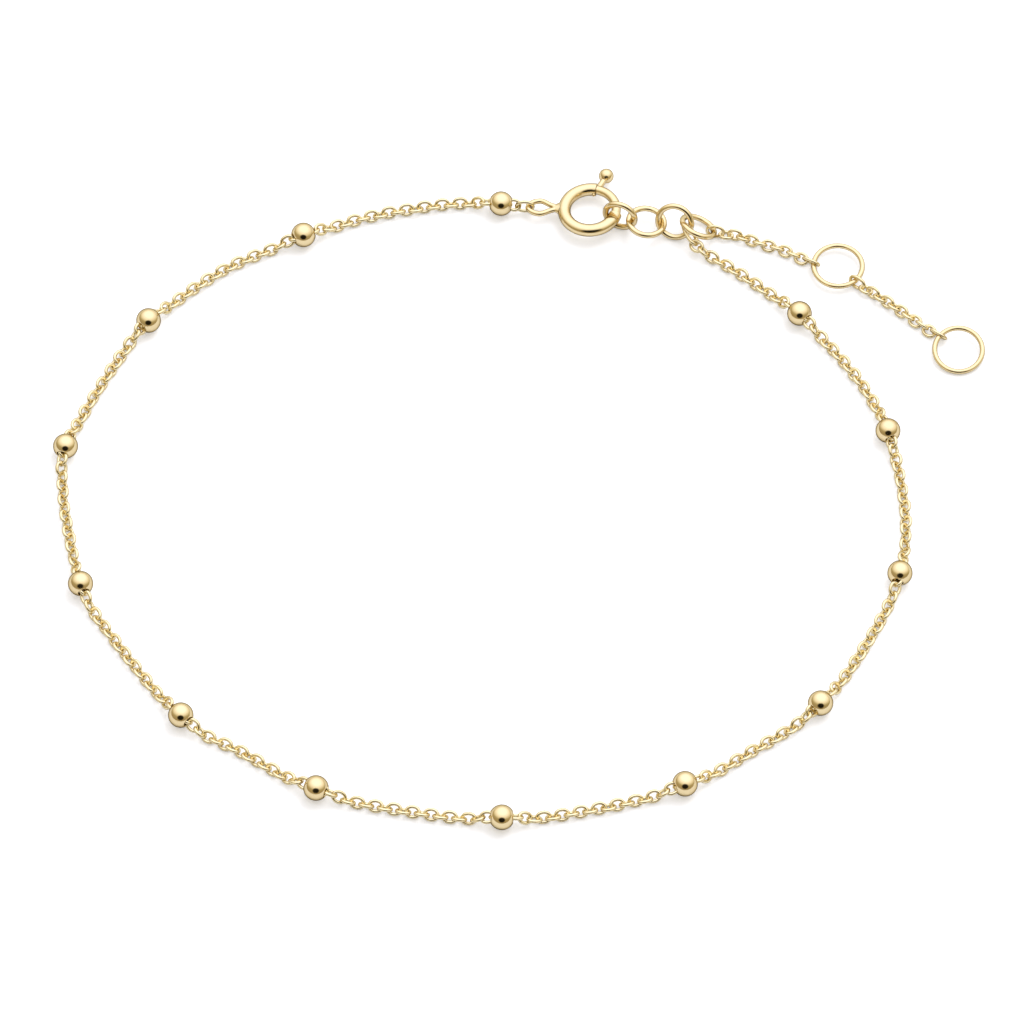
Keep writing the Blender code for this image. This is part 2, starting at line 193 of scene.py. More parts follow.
class BraceletStageSizes(bpy.types.PropertyGroup):
    """Camera, floor and light."""

    elevation: angle("Elevation", "Camera's height above the surface", 58)
    distance: length("Distance", "Camera's distance from the bracelet", 0.600)
    lens: FloatProperty(name="Lens", description="Focal length in millimetres", default=278.0,
                        unit="CAMERA")
    floor: length("Floor", "Side of the pale floor", 1.6)
    dome: FloatProperty(name="Dome", description="Brightness of the studio's dome", default=1.0)
    lift: FloatProperty(name="Lift", description="Light added to the floor as the camera sees it",
                        default=0.40, min=0.0)
    key: FloatProperty(name="Key", description="Power of the soft key light", default=2.0,
                       unit="POWER")


# Routes
def smooth_route(points, samples=24):
    """A Catmull-Rom curve through the points, as dense places and their distances along it."""
    spots = [Vector(p) for p in points]
    spots = [2 * spots[0] - spots[1], *spots, 2 * spots[-1] - spots[-2]]
    places = []
    for a, b, c, d in zip(spots, spots[1:], spots[2:], spots[3:]):
        for i in range(samples):
            t = i / samples
            places.append(
                0.5 * (2 * b + (c - a) * t + (2 * a - 5 * b + 4 * c - d) * t * t
                       + (3 * b - a - 3 * c + d) * t * t * t)
            )
    places.append(spots[-2])
    distances = [0.0]
    for before, after in zip(places, places[1:]):
        distances.append(distances[-1] + (after - before).length)
    return places, distances


def along(route, distance):
    """Place and direction at a distance along a route, straight on past its ends."""
    places, distances = route
    last = len(places) - 2
    index = next((i for i in range(last) if distances[i + 1] > distance), last)
    direction = (places[index + 1] - places[index]).normalized()
    return places[index] + direction * (distance - distances[index]), direction


def ease(value):
    value = min(max(value, 0.0), 1.0)
    return value * value * (3 - 2 * value)


def tilt(pitch, roll, yaw=0.0):
    """In degrees: a turn in the piece's own plane, then +X lifted by pitch and +Y by roll."""
    return (
        Matrix.Rotation(math.radians(roll), 4, "X")
        @ Matrix.Rotation(-math.radians(pitch), 4, "Y")
        @ Matrix.Rotation(math.radians(yaw), 4, "Z")
    )


# Meshes
def grid_faces(rows, columns, closed_rows):
    """Quads between rows of points, each row closed on itself."""
    faces = []
    for i in range(rows if closed_rows else rows - 1):
        for j in range(columns):
            a, b = i * columns, (i + 1) % rows * columns
            k = (j + 1) % columns
            faces.append((a + j, a + k, b + k, b + j))
    return faces


def wire_shape(points, radii, sides, closed):
    """Points and faces of a round wire along the points, turned as little as it can be."""
    spots = [Vector(p) for p in points]
    count = len(spots)
    if closed:
        tangents = [(spots[(i + 1) % count] - spots[i - 1]).normalized() for i in range(count)]
    else:
        ends = [2 * spots[0] - spots[1], *spots, 2 * spots[-1] - spots[-2]]
        tangents = [(after - before).normalized() for before, after in zip(ends, ends[2:])]
    side = tangents[0].orthogonal().normalized()
    if closed:
        side = Vector((0, 0, 1))
    corners = []
    for spot, tangent, radius in zip(spots, tangents, radii):
        side = (side - tangent * side.dot(tangent)).normalized()
        other = tangent.cross(side)
        for j in range(sides):
            turn = 2 * math.pi * j / sides
            corners.append(spot + radius * (math.cos(turn) * side + math.sin(turn) * other))
    faces = grid_faces(count, sides, closed)
    if not closed:
        faces.append(tuple(range(sides))[::-1])
        faces.append(tuple(range(len(corners) - sides, len(corners))))
    return corners, faces


def make_object(name, corners, faces):
    mesh = bpy.data.meshes.new(name)
    mesh.from_pydata([tuple(c) for c in corners], [], faces)
    mesh.validate()
    mesh.shade_smooth()
    obj = bpy.data.objects.new(name, mesh)
    bpy.context.scene.collection.objects.link(obj)
    return obj


def settle_at(obj, placement):
    """Move the mesh itself, so that the object's own box is the piece's true box."""
    obj.data.transform(placement)
    obj.data.update()
    return obj


def turned(name, profile, sides):
    """A closed profile of radius and height, listed down its outside, turned round Z."""
    corners = []
    for radius, height in reversed(profile):
        for j in range(sides):
            turn = 2 * math.pi * j / sides
            corners.append((radius * math.cos(turn), radius * math.sin(turn), height))
    return make_object(name, corners, grid_faces(len(profile), sides, True))


def oval(half_length, half_width, steps, fullness=0.92):
    """A link's centre line, a little fuller than an ellipse, long way along X."""
    points = []
    for i in range(steps):
        turn = 2 * math.pi * i / steps
        cos, sin = math.cos(turn), math.sin(turn)
        points.append((
            half_length * math.copysign(abs(cos) ** fullness, cos),
            half_width * math.copysign(abs(sin) ** fullness, sin),
            0.0,
        ))
    return points


def link_shape(long, wide, wire, steps, sides):
    middle = oval((long - wire) / 2, (wide - wire) / 2, steps)
    return wire_shape(middle, [wire / 2] * steps, sides, True)


def joined_links(name, shapes, placements):
    """Many links as one mesh: each placement is a shape's number and its matrix."""
    corners, faces = [], []
    for number, placement in placements:
        link_corners, link_faces = shapes[number]
        base = len(corners)
        turn = np.array(placement.to_3x3())
        shift = np.array(placement.translation)
        moved = np.array([tuple(c) for c in link_corners]) @ turn.T + shift
        corners.extend(map(tuple, moved))
        faces.extend(tuple(base + k for k in face) for face in link_faces)
    return make_object(name, corners, faces)


def stand_link(place, direction, roll):
    """A link's matrix: long way along the chain, turned by roll about it."""
    side = Vector((0, 0, 1)).cross(direction).normalized()
    up = direction.cross(side)
    turn = Matrix((direction, side, up)).transposed().to_4x4()
    return Matrix.Translation(place) @ turn @ Matrix.Rotation(roll, 4, "X")


# Materials
def socket(group, name, direction, kind, default=None):
    made = group.interface.new_socket(name=name, in_out=direction, socket_type=kind)
    if default is not None:
        made.default_value = default
    return made


def node(tree, kind, **settings):
    made = tree.nodes.new(kind)
    for name, value in settings.items():
        setattr(made, name, value)
    return made


def handled_gold_group():
    """Shared gold surface: drawn colour, handling haze, fine scratches and a faint swell."""
    name = "Handled Gold"
    if name in bpy.data.node_groups:
        return bpy.data.node_groups[name]
    group = bpy.data.node_groups.new(name, "ShaderNodeTree")
    socket(group, "Bright", "INPUT", "NodeSocketColor", (1, 1, 1, 1))
    socket(group, "Deep", "INPUT", "NodeSocketColor", (1, 1, 1, 1))
    socket(group, "Polish", "INPUT", "NodeSocketFloat", 0.07)
    socket(group, "Haze", "INPUT", "NodeSocketFloat", 0.1)
    socket(group, "Scale", "INPUT", "NodeSocketFloat", 1.0)
    socket(group, "Color", "OUTPUT", "NodeSocketColor")
    socket(group, "Roughness", "OUTPUT", "NodeSocketFloat")
    socket(group, "Height", "OUTPUT", "NodeSocketFloat")
    given = node(group, "NodeGroupInput")
    made = node(group, "NodeGroupOutput")
    join = group.links.new

    where = node(group, "ShaderNodeTexCoord")
    sized = node(group, "ShaderNodeVectorMath", operation="SCALE")
    join(where.outputs["Object"], sized.inputs[0])
    join(given.outputs["Scale"], sized.inputs["Scale"])

    # Broad patches of handling, about a millimetre across
    patches = node(group, "ShaderNodeTexNoise")
    patches.inputs["Scale"].default_value = 900
    patches.inputs["Detail"].default_value = 3
    join(sized.outputs[0], patches.inputs["Vector"])
    patch_mask = node(group, "ShaderNodeMapRange")
    patch_mask.inputs["From Min"].default_value = 0.42
    patch_mask.inputs["From Max"].default_value = 0.72
    join(patches.outputs["Fac"], patch_mask.inputs["Value"])

    # Fine scratches run across the patches in two directions
    stretched = node(group, "ShaderNodeMapping")
    stretched.inputs["Scale"].default_value = (1.0, 9.0, 3.0)
    stretched.inputs["Rotation"].default_value = (0.4, 0.2, 0.7)
    join(sized.outputs[0], stretched.inputs["Vector"])
    scratches = node(group, "ShaderNodeTexNoise")
    scratches.inputs["Scale"].default_value = 2600
    scratches.inputs["Detail"].default_value = 5
    join(stretched.outputs[0], scratches.inputs["Vector"])
    scratch_mask = node(group, "ShaderNodeMapRange")
    scratch_mask.inputs["From Min"].default_value = 0.56
    scratch_mask.inputs["From Max"].default_value = 0.66
    join(scratches.outputs["Fac"], scratch_mask.inputs["Value"])

    tone = node(group, "ShaderNodeMath", operation="MULTIPLY")
    tone.inputs[1].default_value = 0.45
    join(patch_mask.outputs["Result"], tone.inputs[0])
    mix = node(group, "ShaderNodeMix", data_type="RGBA")
    join(tone.outputs[0], mix.inputs["Factor"])
    join(given.outputs["Bright"], mix.inputs["A"])
    join(given.outputs["Deep"], mix.inputs["B"])
    join(mix.outputs["Result"], made.inputs["Color"])

    haze = node(group, "ShaderNodeMath", operation="MULTIPLY")
    join(patch_mask.outputs["Result"], haze.inputs[0])
    join(given.outputs["Haze"], haze.inputs[1])
    scratch_haze = node(group, "ShaderNodeMath", operation="MULTIPLY_ADD")
    scratch_haze.inputs[1].default_value = 0.06
    join(scratch_mask.outputs["Result"], scratch_haze.inputs[0])
    join(haze.outputs[0], scratch_haze.inputs[2])
    rough = node(group, "ShaderNodeMath", operation="ADD")
    join(scratch_haze.outputs[0], rough.inputs[0])
    join(given.outputs["Polish"], rough.inputs[1])
    join(rough.outputs[0], made.inputs["Roughness"])

    height = node(group, "ShaderNodeMath", operation="MULTIPLY_ADD")
    height.inputs[1].default_value = -0.35
    join(scratch_mask.outputs["Result"], height.inputs[0])
    join(patches.outputs["Fac"], height.inputs[2])
    join(height.outputs[0], made.inputs["Height"])
    return group


# Dark tint painted on the gold near a grazing angle: painted shade that stands in for the dark of
# the room mirrored at the edges. The links' thin wire gets a paler painted rim, painted light that
# stands in for the light each link throws on its neighbours.
SOLID_PAINTED_RIM_SHADE = (0.12, 0.08, 0.03, 1.0)
WIRE_PAINTED_RIM_SHADE = (0.42, 0.32, 0.16, 1.0)
RELIEF_HEIGHT = 0.01 * MM


def gold_material(name, bright, deep, polish, haze, scale, relief, edge):
    """Polished gold with its own colours and polish over the shared handled surface."""
    if name in bpy.data.materials:
        return bpy.data.materials[name]
    material = bpy.data.materials.new(name)
    material.use_nodes = True
    tree = material.node_tree
    shader = tree.nodes["Principled BSDF"]
    shader.inputs["Metallic"].default_value = 1.0
    # Specular Tint takes the painted rim shade: dark gold painted at grazing angles in place of
    # shade.
    shader.inputs["Specular Tint"].default_value = edge
    surface = node(tree, "ShaderNodeGroup", node_tree=handled_gold_group())
    surface.inputs["Bright"].default_value = (*bright, 1.0)
    surface.inputs["Deep"].default_value = (*deep, 1.0)
    surface.inputs["Polish"].default_value = polish
    surface.inputs["Haze"].default_value = haze
    surface.inputs["Scale"].default_value = scale
    bump = node(tree, "ShaderNodeBump")
    bump.inputs["Strength"].default_value = relief
    bump.inputs["Distance"].default_value = RELIEF_HEIGHT
    tree.links.new(surface.outputs["Height"], bump.inputs["Height"])
    tree.links.new(bump.outputs["Normal"], shader.inputs["Normal"])
    tree.links.new(surface.outputs["Color"], shader.inputs["Base Color"])
    tree.links.new(surface.outputs["Roughness"], shader.inputs["Roughness"])
    return material


def bead_gold():
    finish = bpy.context.scene.bracelet_finish
    return gold_material("Bead Gold", finish.bright, finish.deep, finish.polish, finish.haze * 0.6,
                         1.0, 0.12, SOLID_PAINTED_RIM_SHADE)


def wire_gold():
    finish = bpy.context.scene.bracelet_finish
    return gold_material("Chain Wire Gold", finish.chain, finish.deep, finish.polish + 0.05,
                         finish.haze, 1.6, 0.25, WIRE_PAINTED_RIM_SHADE)


def ring_gold():
    finish = bpy.context.scene.bracelet_finish
    return gold_material("Ring Gold", finish.bright, finish.deep, finish.polish + 0.03, finish.haze,
                         1.2, 0.2, SOLID_PAINTED_RIM_SHADE)


def clasp_gold():
    finish = bpy.context.scene.bracelet_finish
    return gold_material("Clasp Gold", finish.bright, finish.deep, finish.polish + 0.02,
                         finish.haze, 0.8, 0.15, SOLID_PAINTED_RIM_SHADE)


def dress(obj, material, body, slot, *nodes):
    """Give a finished piece its metal and its body, and hide the nodes that it stands for. The slot
    that it is handed is not used.
    """
    obj.data.materials.clear()
    obj.data.materials.append(material)
    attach(obj, body)
    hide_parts(*nodes)
    return obj


# Chain
def chain_height(distance, stations, chain, beads):
    """The chain lies on the surface, and climbs to each bead's hole and to its last link."""
    drop = (chain.link_width - chain.link_wire) / 2 * math.sin(chain.lean) + chain.link_wire / 2
    height = drop
    for station, top in stations:
        away = abs(distance - station) - beads.diameter / 2
        height = max(height, drop + (top - drop) * ease(1 - away / chain.climb))
    return height


def cable_placements(route, stations, chain, beads, start, end):
    """Even links from start to end, leaning left and right by turns with a slight stray."""
    stray = random.Random(7)
    pitch = chain.link_length - 2 * chain.link_wire
    count = math.ceil((end - start) / pitch)
    step = (end - start) / count
    placements = []
    for number in range(count + 1):
        distance = start + number * step
        before, _ = along(route, distance - step / 2)
        after, _ = along(route, distance + step / 2)
        before.z = chain_height(distance - step / 2, stations, chain, beads)
        after.z = chain_height(distance + step / 2, stations, chain, beads)
        turn = 1 if number % 2 else -1
        roll = turn * chain.lean + stray.uniform(-chain.wobble, chain.wobble)
        direction = (after - before).normalized()
        away = min(abs(distance - station) for station, _ in stations) - beads.diameter / 2
        side = Vector((0, 0, 1)).cross(direction) * turn * chain.spread * ease(away / chain.climb)
        place = (before + after) / 2 + side
        reach = (chain.link_width - chain.link_wire) / 2 * abs(math.sin(roll)) + chain.link_wire / 2
        place.z = max(place.z, reach)
        placements.append((0, stand_link(place, direction, roll)))
    return placements


class BRACELET_OT_lay_cable_chain(bpy.types.Operator):
    """Lay the main cable chain's links along its route, through every bead"""

    bl_idname = "bracelet.lay_cable_chain"
    bl_label = "Lay Cable Chain"

    def execute(self, context):
        chain, beads = context.scene.bracelet_chain, context.scene.bracelet_beads
        route = smooth_route([(x * MM, y * MM, 0.0) for x, y, _ in CHAIN_ROUTE])
        samples = (len(route[0]) - 1) // (len(CHAIN_ROUTE) - 1)
        stations = [
            (route[1][i * samples], beads.diameter / 2)
            for i, (_, _, kind) in enumerate(CHAIN_ROUTE) if kind is BEAD
        ]
        end = route[1][-1]
        heights = [*stations, (end + beads.diameter / 2, HOOK_HEIGHT)]
        end_link = SINGLE_LINKS["chain_end_link"]
        both_halves = (end_link[0] * MM + chain.link_length) / 2
        start_x = end_link[3][0] * MM - both_halves + 2 * chain.link_wire
        start = CHAIN_ROUTE[0][0] * MM - start_x
        shape = link_shape(chain.link_length, chain.link_width, chain.link_wire,
                           chain.link_steps, chain.wire_sides)
        placements = cable_placements(route, heights, chain, beads, start, end)
        obj = joined_links("cable_chain_links", [shape], placements)
        dress(obj, wire_gold(), MAIN_BODY, "chain_gold", "main_chain")
        return {"FINISHED"}


class BRACELET_OT_hang_extender(bpy.types.Operator):
    """Hang the extender's two twisted stretches of links between their rings"""

    bl_idname = "bracelet.hang_extender"
    bl_label = "Hang Extender"

    def execute(self, context):
        chain = context.scene.bracelet_chain
        sizes = (chain.wire_sides, chain.link_steps)
        shapes = [
            link_shape(chain.link_length, chain.link_width, chain.link_wire, sizes[1], sizes[0]),
            link_shape(chain.end_length, chain.end_width, chain.link_wire, sizes[1], sizes[0]),
        ]
        for name, points in EXTENDER_ROUTES.items():
            placements = extender_placements(name, points, chain)
            obj = joined_links(name + "_links", shapes, placements)
            dress(obj, wire_gold(), MAIN_BODY, "chain_gold", name)
        return {"FINISHED"}


# Height of an extender's end links, and how far they stand up
EXTENDER_HEIGHT = 0.55 * MM
EXTENDER_END_ROLL = math.radians(68)


def extender_placements(name, points, chain):
    """Links standing a quarter turn from each other, with a little twist so both ends stand up."""
    stray = random.Random(name)
    route = smooth_route([(x * MM, y * MM, EXTENDER_HEIGHT) for x, y in points])
    total = route[1][-1]
    inner_half = chain.link_length / 2 - chain.link_wire
    end_step = inner_half + chain.end_length / 2 - chain.link_wire
    middle = math.ceil((total - 2 * end_step) / (2 * inner_half))
    stretch = total / (2 * end_step + middle * 2 * inner_half)
    steps = [end_step, *[2 * inner_half] * middle, end_step]
    quarter = math.pi / 2
    count = len(steps) + 1
    off = (-2 * EXTENDER_END_ROLL - quarter * (count - 1)) % math.pi
    twist = (off if off < quarter else off - math.pi) / (count - 1)
    placements = []
    distance = 0.0
    for number in range(count):
        at_end = number in (0, count - 1)
        place, direction = along(route, distance)
        roll = EXTENDER_END_ROLL + number * (quarter + twist)
        if not at_end:
            roll += stray.uniform(-chain.wobble, chain.wobble)
            half = (chain.link_width - chain.link_wire) / 2
            place.z = half * abs(math.sin(roll)) + chain.link_wire / 2
        placements.append((1 if at_end else 0, stand_link(place, direction, roll)))
        if number < count - 1:
            distance += steps[number] * stretch
    return placements


# Beads
class BRACELET_OT_thread_beads(bpy.types.Operator):
    """Turn the drilled station beads and thread each one on the chain"""

    bl_idname = "bracelet.thread_beads"
    bl_label = "Thread Beads"

    def execute(self, context):
        beads = context.scene.bracelet_beads
        route = smooth_route([(x * MM, y * MM, 0.0) for x, y, _ in CHAIN_ROUTE])
        samples = (len(route[0]) - 1) // (len(CHAIN_ROUTE) - 1)
        marks = [i * samples for i, (_, _, kind) in enumerate(CHAIN_ROUTE) if kind is BEAD]
        if len(marks) != len(BEAD_NODES):
            raise RuntimeError("the route's beads and the frame's beads differ in number")
        radius, hole, rim = beads.diameter / 2, beads.hole / 2, beads.rim
        edge = math.asin((hole + rim) / radius)
        arc = [edge + (math.pi - 2 * edge) * i / beads.bands for i in range(beads.bands + 1)]
        outer = [(radius * math.sin(a), radius * math.cos(a)) for a in arc]
        mouth = outer[-1][1] + rim
        soft = (hole + rim * 0.3, outer[-1][1] + rim * 0.3)
        inner = [soft, (hole, mouth), (hole, -mouth), (soft[0], -soft[1])]
        for name, mark in zip(BEAD_NODES, marks):
            place, direction = along(route, route[1][mark])
            low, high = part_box(name)
            obj = turned("turned_" + name, outer + inner, beads.sides)
            turn = direction.to_track_quat("Z", "Y").to_matrix().to_4x4()
            settle_at(obj, Matrix.Translation((place.x, place.y, (low.z + high.z) / 2)) @ turn)
            dress(obj, bead_gold(), MAIN_BODY, "bead_gold", name)
        return {"FINISHED"}


# Rings
RING_STEPS = 120
RING_SIDES = 20

# Share of the wire lost at a ring's seam, and steps from one ring's seam to the next ring's
SEAM_DEPTH = 0.05
SEAM_TURN = 37

SINGLE_LINK_STEPS = 48
SINGLE_LINK_SIDES = 16


class BRACELET_OT_close_rings(bpy.types.Operator):
    """Bend the jump rings and the extender's rings, each with the fine seam where it was closed"""

    bl_idname = "bracelet.close_rings"
    bl_label = "Close Rings"

    def execute(self, context):
        for number, (name, row) in enumerate(RINGS.items()):
            diameter, wire, centre, pitch, roll = row
            radius = (diameter - wire) / 2 * MM
            seam = SEAM_TURN * number % RING_STEPS
            points, radii = [], []
            for i in range(RING_STEPS):
                turn = 2 * math.pi * i / RING_STEPS
                points.append((radius * math.cos(turn), radius * math.sin(turn), 0.0))
                radii.append(wire / 2 * MM * (1 - SEAM_DEPTH * (i == seam)))
            obj = make_object(name + "_wire", *wire_shape(points, radii, RING_SIDES, True))
            settle_at(obj, Matrix.Translation(Vector(centre) * MM) @ tilt(pitch, roll))
            dress(obj, ring_gold(), MAIN_BODY, "ring_gold", name)
        return {"FINISHED"}


class BRACELET_OT_bend_end_links(bpy.types.Operator):
    """Bend the two single links that join the chain to the clasp's eye and to the jump ring"""

    bl_idname = "bracelet.bend_end_links"
    bl_label = "Bend End Links"

    def execute(self, context):
        for name, (long, wide, wire, centre, pitch, roll, yaw) in SINGLE_LINKS.items():
            shape = link_shape(long * MM, wide * MM, wire * MM, SINGLE_LINK_STEPS,
                               SINGLE_LINK_SIDES)
            obj = make_object(name + "_wire", *shape)
            settle_at(obj, Matrix.Translation(Vector(centre) * MM) @ tilt(pitch, roll, yaw))
            dress(obj, wire_gold(), MAIN_BODY, "chain_gold", name)
        return {"FINISHED"}


# Clasp
CLASP_PLACE = Matrix.Translation(CLASP_CENTRE) @ tilt(CLASP_PITCH, CLASP_ROLL)
ARC_STEP = math.radians(2.5)
ROUNDING_STEPS = 5

# The tube, and the bore and slot cut in it, which run a little past its ends
TUBE_SIDES = 40
BORE_SIDES = 32
SLOT_SIDES = 20
CUT_PAST = math.radians(6)

# The bolt: how far its nose and its tail run into the tube, and its ends' rounding
BOLT_SIDES = 32
BOLT_NOSE = math.radians(4)
BOLT_HIDDEN = math.radians(25)
BOLT_ROUNDING = 0.5

# The trigger's post: its bend to the side and its flare at the bolt
POST_STEPS = 18
POST_SIDES = 24
POST_LEAN = 0.16 * MM
POST_FLARE = 0.03 * MM

# The eye: how far its sides are drawn together, from which shoulder, over which stretch
EYE_STEPS = 72
EYE_SUNK = 0.05 * MM
EYE_DRAWN = 0.50
EYE_SHOULDER = 0.20
EYE_DRAWN_OVER = 0.95

# The neck between tube and eye: where it starts and ends from the tube's face, and its half
# widths, with its thickness as a share of its width
NECK_STEPS = 20
NECK_SIDES = 28
NECK_SUNK = 0.32 * MM
NECK_REACH = 0.45 * MM
NECK_ROOT = 0.70 * MM
NECK_WAIST = 0.40 * MM
NECK_TIP = 0.24 * MM
NECK_FLATNESS = 0.60

# The small crimp inside the tube's end, which holds the spring
CRIMP_RADIUS = 0.14 * MM


def arc_wire(name, ring_radius, wire_radius, start, end, rounding, sides):
    """A round wire round part of the clasp's circle, with its two ends rounded over."""
    count = math.ceil((end - start) / ARC_STEP)
    turns = [start + (end - start) * i / count for i in range(count + 1)]
    radii = [wire_radius] * len(turns)
    if rounding:
        head = []
        for i in range(ROUNDING_STEPS + 1):
            bend = math.pi / 2 * i / ROUNDING_STEPS
            head.append((start + rounding / ring_radius * (1 - math.cos(bend)),
                         wire_radius - rounding * (1 - math.sin(bend))))
        tail = [(start + end - a, r) for a, r in reversed(head)]
        middle = [(a, wire_radius) for a in turns if head[-1][0] < a < tail[0][0]]
        turns = [a for a, _ in head + middle + tail]
        radii = [r for _, r in head + middle + tail]
    points = [(ring_radius * math.cos(a), ring_radius * math.sin(a), 0.0) for a in turns]
    return make_object(name, *wire_shape(points, radii, sides, False))


def eye_outline(half_length, half_width, steps):
    """The eye's centre line: round outside, its two sides drawn together towards the tube."""
    points = []
    for i in range(steps):
        turn = 2 * math.pi * i / steps
        out = math.cos(turn)
        drawn = 1 - EYE_DRAWN * ease((EYE_SHOULDER - out) / EYE_DRAWN_OVER)
        points.append((half_length * out, half_width * math.sin(turn) * drawn, 0.0))
    return points


def boolean(target, other, operation):
    """Cut or join one shape with another when the piece is settled."""
    modifier = target.modifiers.new(operation.lower(), "BOOLEAN")
    modifier.operation = operation
    modifier.solver = "EXACT"
    modifier.object = other


def settle(obj, helpers):
    """Apply the piece's modifiers and remove the shapes that only helped to make it."""
    bpy.context.view_layer.update()
    evaluated = obj.evaluated_get(bpy.context.evaluated_depsgraph_get())
    mesh = bpy.data.meshes.new_from_object(evaluated)
    obj.modifiers.clear()
    obj.data = mesh
    for helper in helpers:
        bpy.data.objects.remove(helper, do_unlink=True)
    mesh.shade_smooth()
    mesh.set_sharp_from_angle(angle=math.radians(40))
    return obj


def join_shells(obj, others):
    """Add soldered pieces to a mesh as closed shells that run into it."""
    bpy.context.view_layer.update()
    work = bmesh.new()
    work.from_mesh(obj.data)
    for other in others:
        other.data.transform(other.matrix_world)
        other.data.shade_smooth()
        work.from_mesh(other.data)
        bpy.data.objects.remove(other, do_unlink=True)
    work.to_mesh(obj.data)
    work.free()


class BRACELET_OT_bend_clasp(bpy.types.Operator):
    """Bend the spring ring's hollow tube, cut its bore and slot, and solder on the oval eye"""

    bl_idname = "bracelet.bend_clasp"
    bl_label = "Bend Clasp"

    def execute(self, context):
        clasp = context.scene.bracelet_clasp
        middle = (clasp.diameter - clasp.tube) / 2
        shell = arc_wire("spring_ring_shell", middle, clasp.tube / 2, clasp.tube_start,
                         clasp.tube_end, clasp.rounding, TUBE_SIDES)
        bore = arc_wire("bore", middle, clasp.tube / 2 - clasp.wall, clasp.tube_start - CUT_PAST,
                        clasp.tube_end + CUT_PAST, 0, BORE_SIDES)
        slot_radius = clasp.post / 2 + clasp.slot_room
        slot_reach = slot_radius + POST_LEAN + POST_FLARE
        slot = arc_wire("slot", middle + clasp.tube / 2 - clasp.wall / 2, slot_radius,
                        clasp.tube_start - CUT_PAST,
                        clasp.post_angle + clasp.travel + slot_reach / middle, 0, SLOT_SIDES)
        eye_points = eye_outline((clasp.eye_length - clasp.eye_wire) / 2,
                                 (clasp.eye_width - clasp.eye_wire) / 2, EYE_STEPS)
        eye_radii = [clasp.eye_wire / 2] * EYE_STEPS
        eye = make_object("eye", *wire_shape(eye_points, eye_radii, RING_SIDES, True))
        out = Matrix.Rotation(clasp.eye_angle, 4, "Z")
        eye.matrix_world = out @ Matrix.Translation(
            (clasp.diameter / 2 + clasp.eye_length / 2 - EYE_SUNK, 0, 0))
        root, tip = clasp.diameter / 2 - NECK_SUNK, clasp.diameter / 2 + NECK_REACH
        path, widths = [], []
        for i in range(NECK_STEPS + 1):
            part = i / NECK_STEPS
            path.append((root + (tip - root) * part, 0.0, 0.0))
            flared = NECK_WAIST + (NECK_ROOT - NECK_WAIST) * (1 - part) ** 2.2
            widths.append(flared - (NECK_WAIST - NECK_TIP) * part ** 3)
        neck = make_object("neck", *wire_shape(path, widths, NECK_SIDES, False))
        neck.matrix_world = out @ Matrix.Scale(NECK_FLATNESS, 4, (0, 0, 1))
        bpy.ops.mesh.primitive_uv_sphere_add(segments=24, ring_count=16, radius=CRIMP_RADIUS)
        crimp = context.object
        crimp.matrix_world = (
            Matrix.Rotation(clasp.tube_start + CRIMP_RADIUS / middle, 4, "Z")
            @ Matrix.Translation((middle - clasp.tube / 2 - CRIMP_RADIUS / 4, 0, 0))
        )
        for cutter in (bore, slot):
            boolean(shell, cutter, "DIFFERENCE")
        settle(shell, [bore, slot])
        join_shells(shell, [eye, neck, crimp])
        settle_at(shell, CLASP_PLACE)
        across = [vertex.co.x for vertex in shell.data.vertices]
        if max(across) - min(across) < clasp.diameter + clasp.eye_length / 2:
            raise RuntimeError("the clasp's eye is missing from its tube")
        dress(shell, clasp_gold(), MAIN_BODY, "clasp_gold", "clasp_body")
        return {"FINISHED"}


class BRACELET_OT_fit_bolt(bpy.types.Operator):
    """Fit the sliding bolt with its curved trigger post and ball"""

    bl_idname = "bracelet.fit_bolt"
    bl_label = "Fit Bolt"

    def execute(self, context):
        clasp = context.scene.bracelet_clasp
        middle = (clasp.diameter - clasp.tube) / 2
        radius = clasp.tube / 2 - clasp.wall - clasp.clearance
        start = clasp.tube_end - 2 * math.pi - BOLT_NOSE
        bolt = arc_wire("spring_ring_bolt", middle, radius, start, clasp.tube_start + BOLT_HIDDEN,
                        radius * BOLT_ROUNDING, BOLT_SIDES)
        ball_distance = clasp.diameter / 2 + clasp.reach
        out = Matrix.Rotation(clasp.post_angle, 4, "Z")
        path, widths = [], []
        for i in range(POST_STEPS + 1):
            part = i / POST_STEPS
            along_post = middle + (ball_distance - middle) * part
            path.append((along_post, POST_LEAN * (1 - part) ** 1.5, 0.0))
            widths.append(clasp.post / 2 + POST_FLARE * (1 - part) ** 2)
        post = make_object("post", *wire_shape(path, widths, POST_SIDES, False))
        post.matrix_world = out
        bpy.ops.mesh.primitive_uv_sphere_add(segments=48, ring_count=32, radius=clasp.ball / 2)
        ball = context.object
        ball.matrix_world = out @ Matrix.Translation((ball_distance, 0, 0))
        boolean(bolt, post, "UNION")
        boolean(bolt, ball, "UNION")
        settle(bolt, [post, ball])
        settle_at(bolt, CLASP_PLACE)
        dress(bolt, clasp_gold(), BOLT_BODY, "clasp_gold", "clasp_bolt")
        return {"FINISHED"}


# Stage
# Where the light bank stands, and its light and the walls' from straight away to straight into it
BANK_DIRECTION = (0.10, 0.45, 0.887)
DOME_STOPS = [
    (0.0, (0.46, 0.40, 0.29)),
    (0.42, (0.37, 0.30, 0.18)),
    (0.60, (0.44, 0.37, 0.22)),
    (0.69, (0.72, 0.66, 0.52)),
    (0.76, (0.94, 0.90, 0.82)),
    (0.85, (1.11, 1.11, 1.16)),
    (0.92, (1.28, 1.31, 1.45)),
    (1.0, (1.36, 1.40, 1.58)),
]

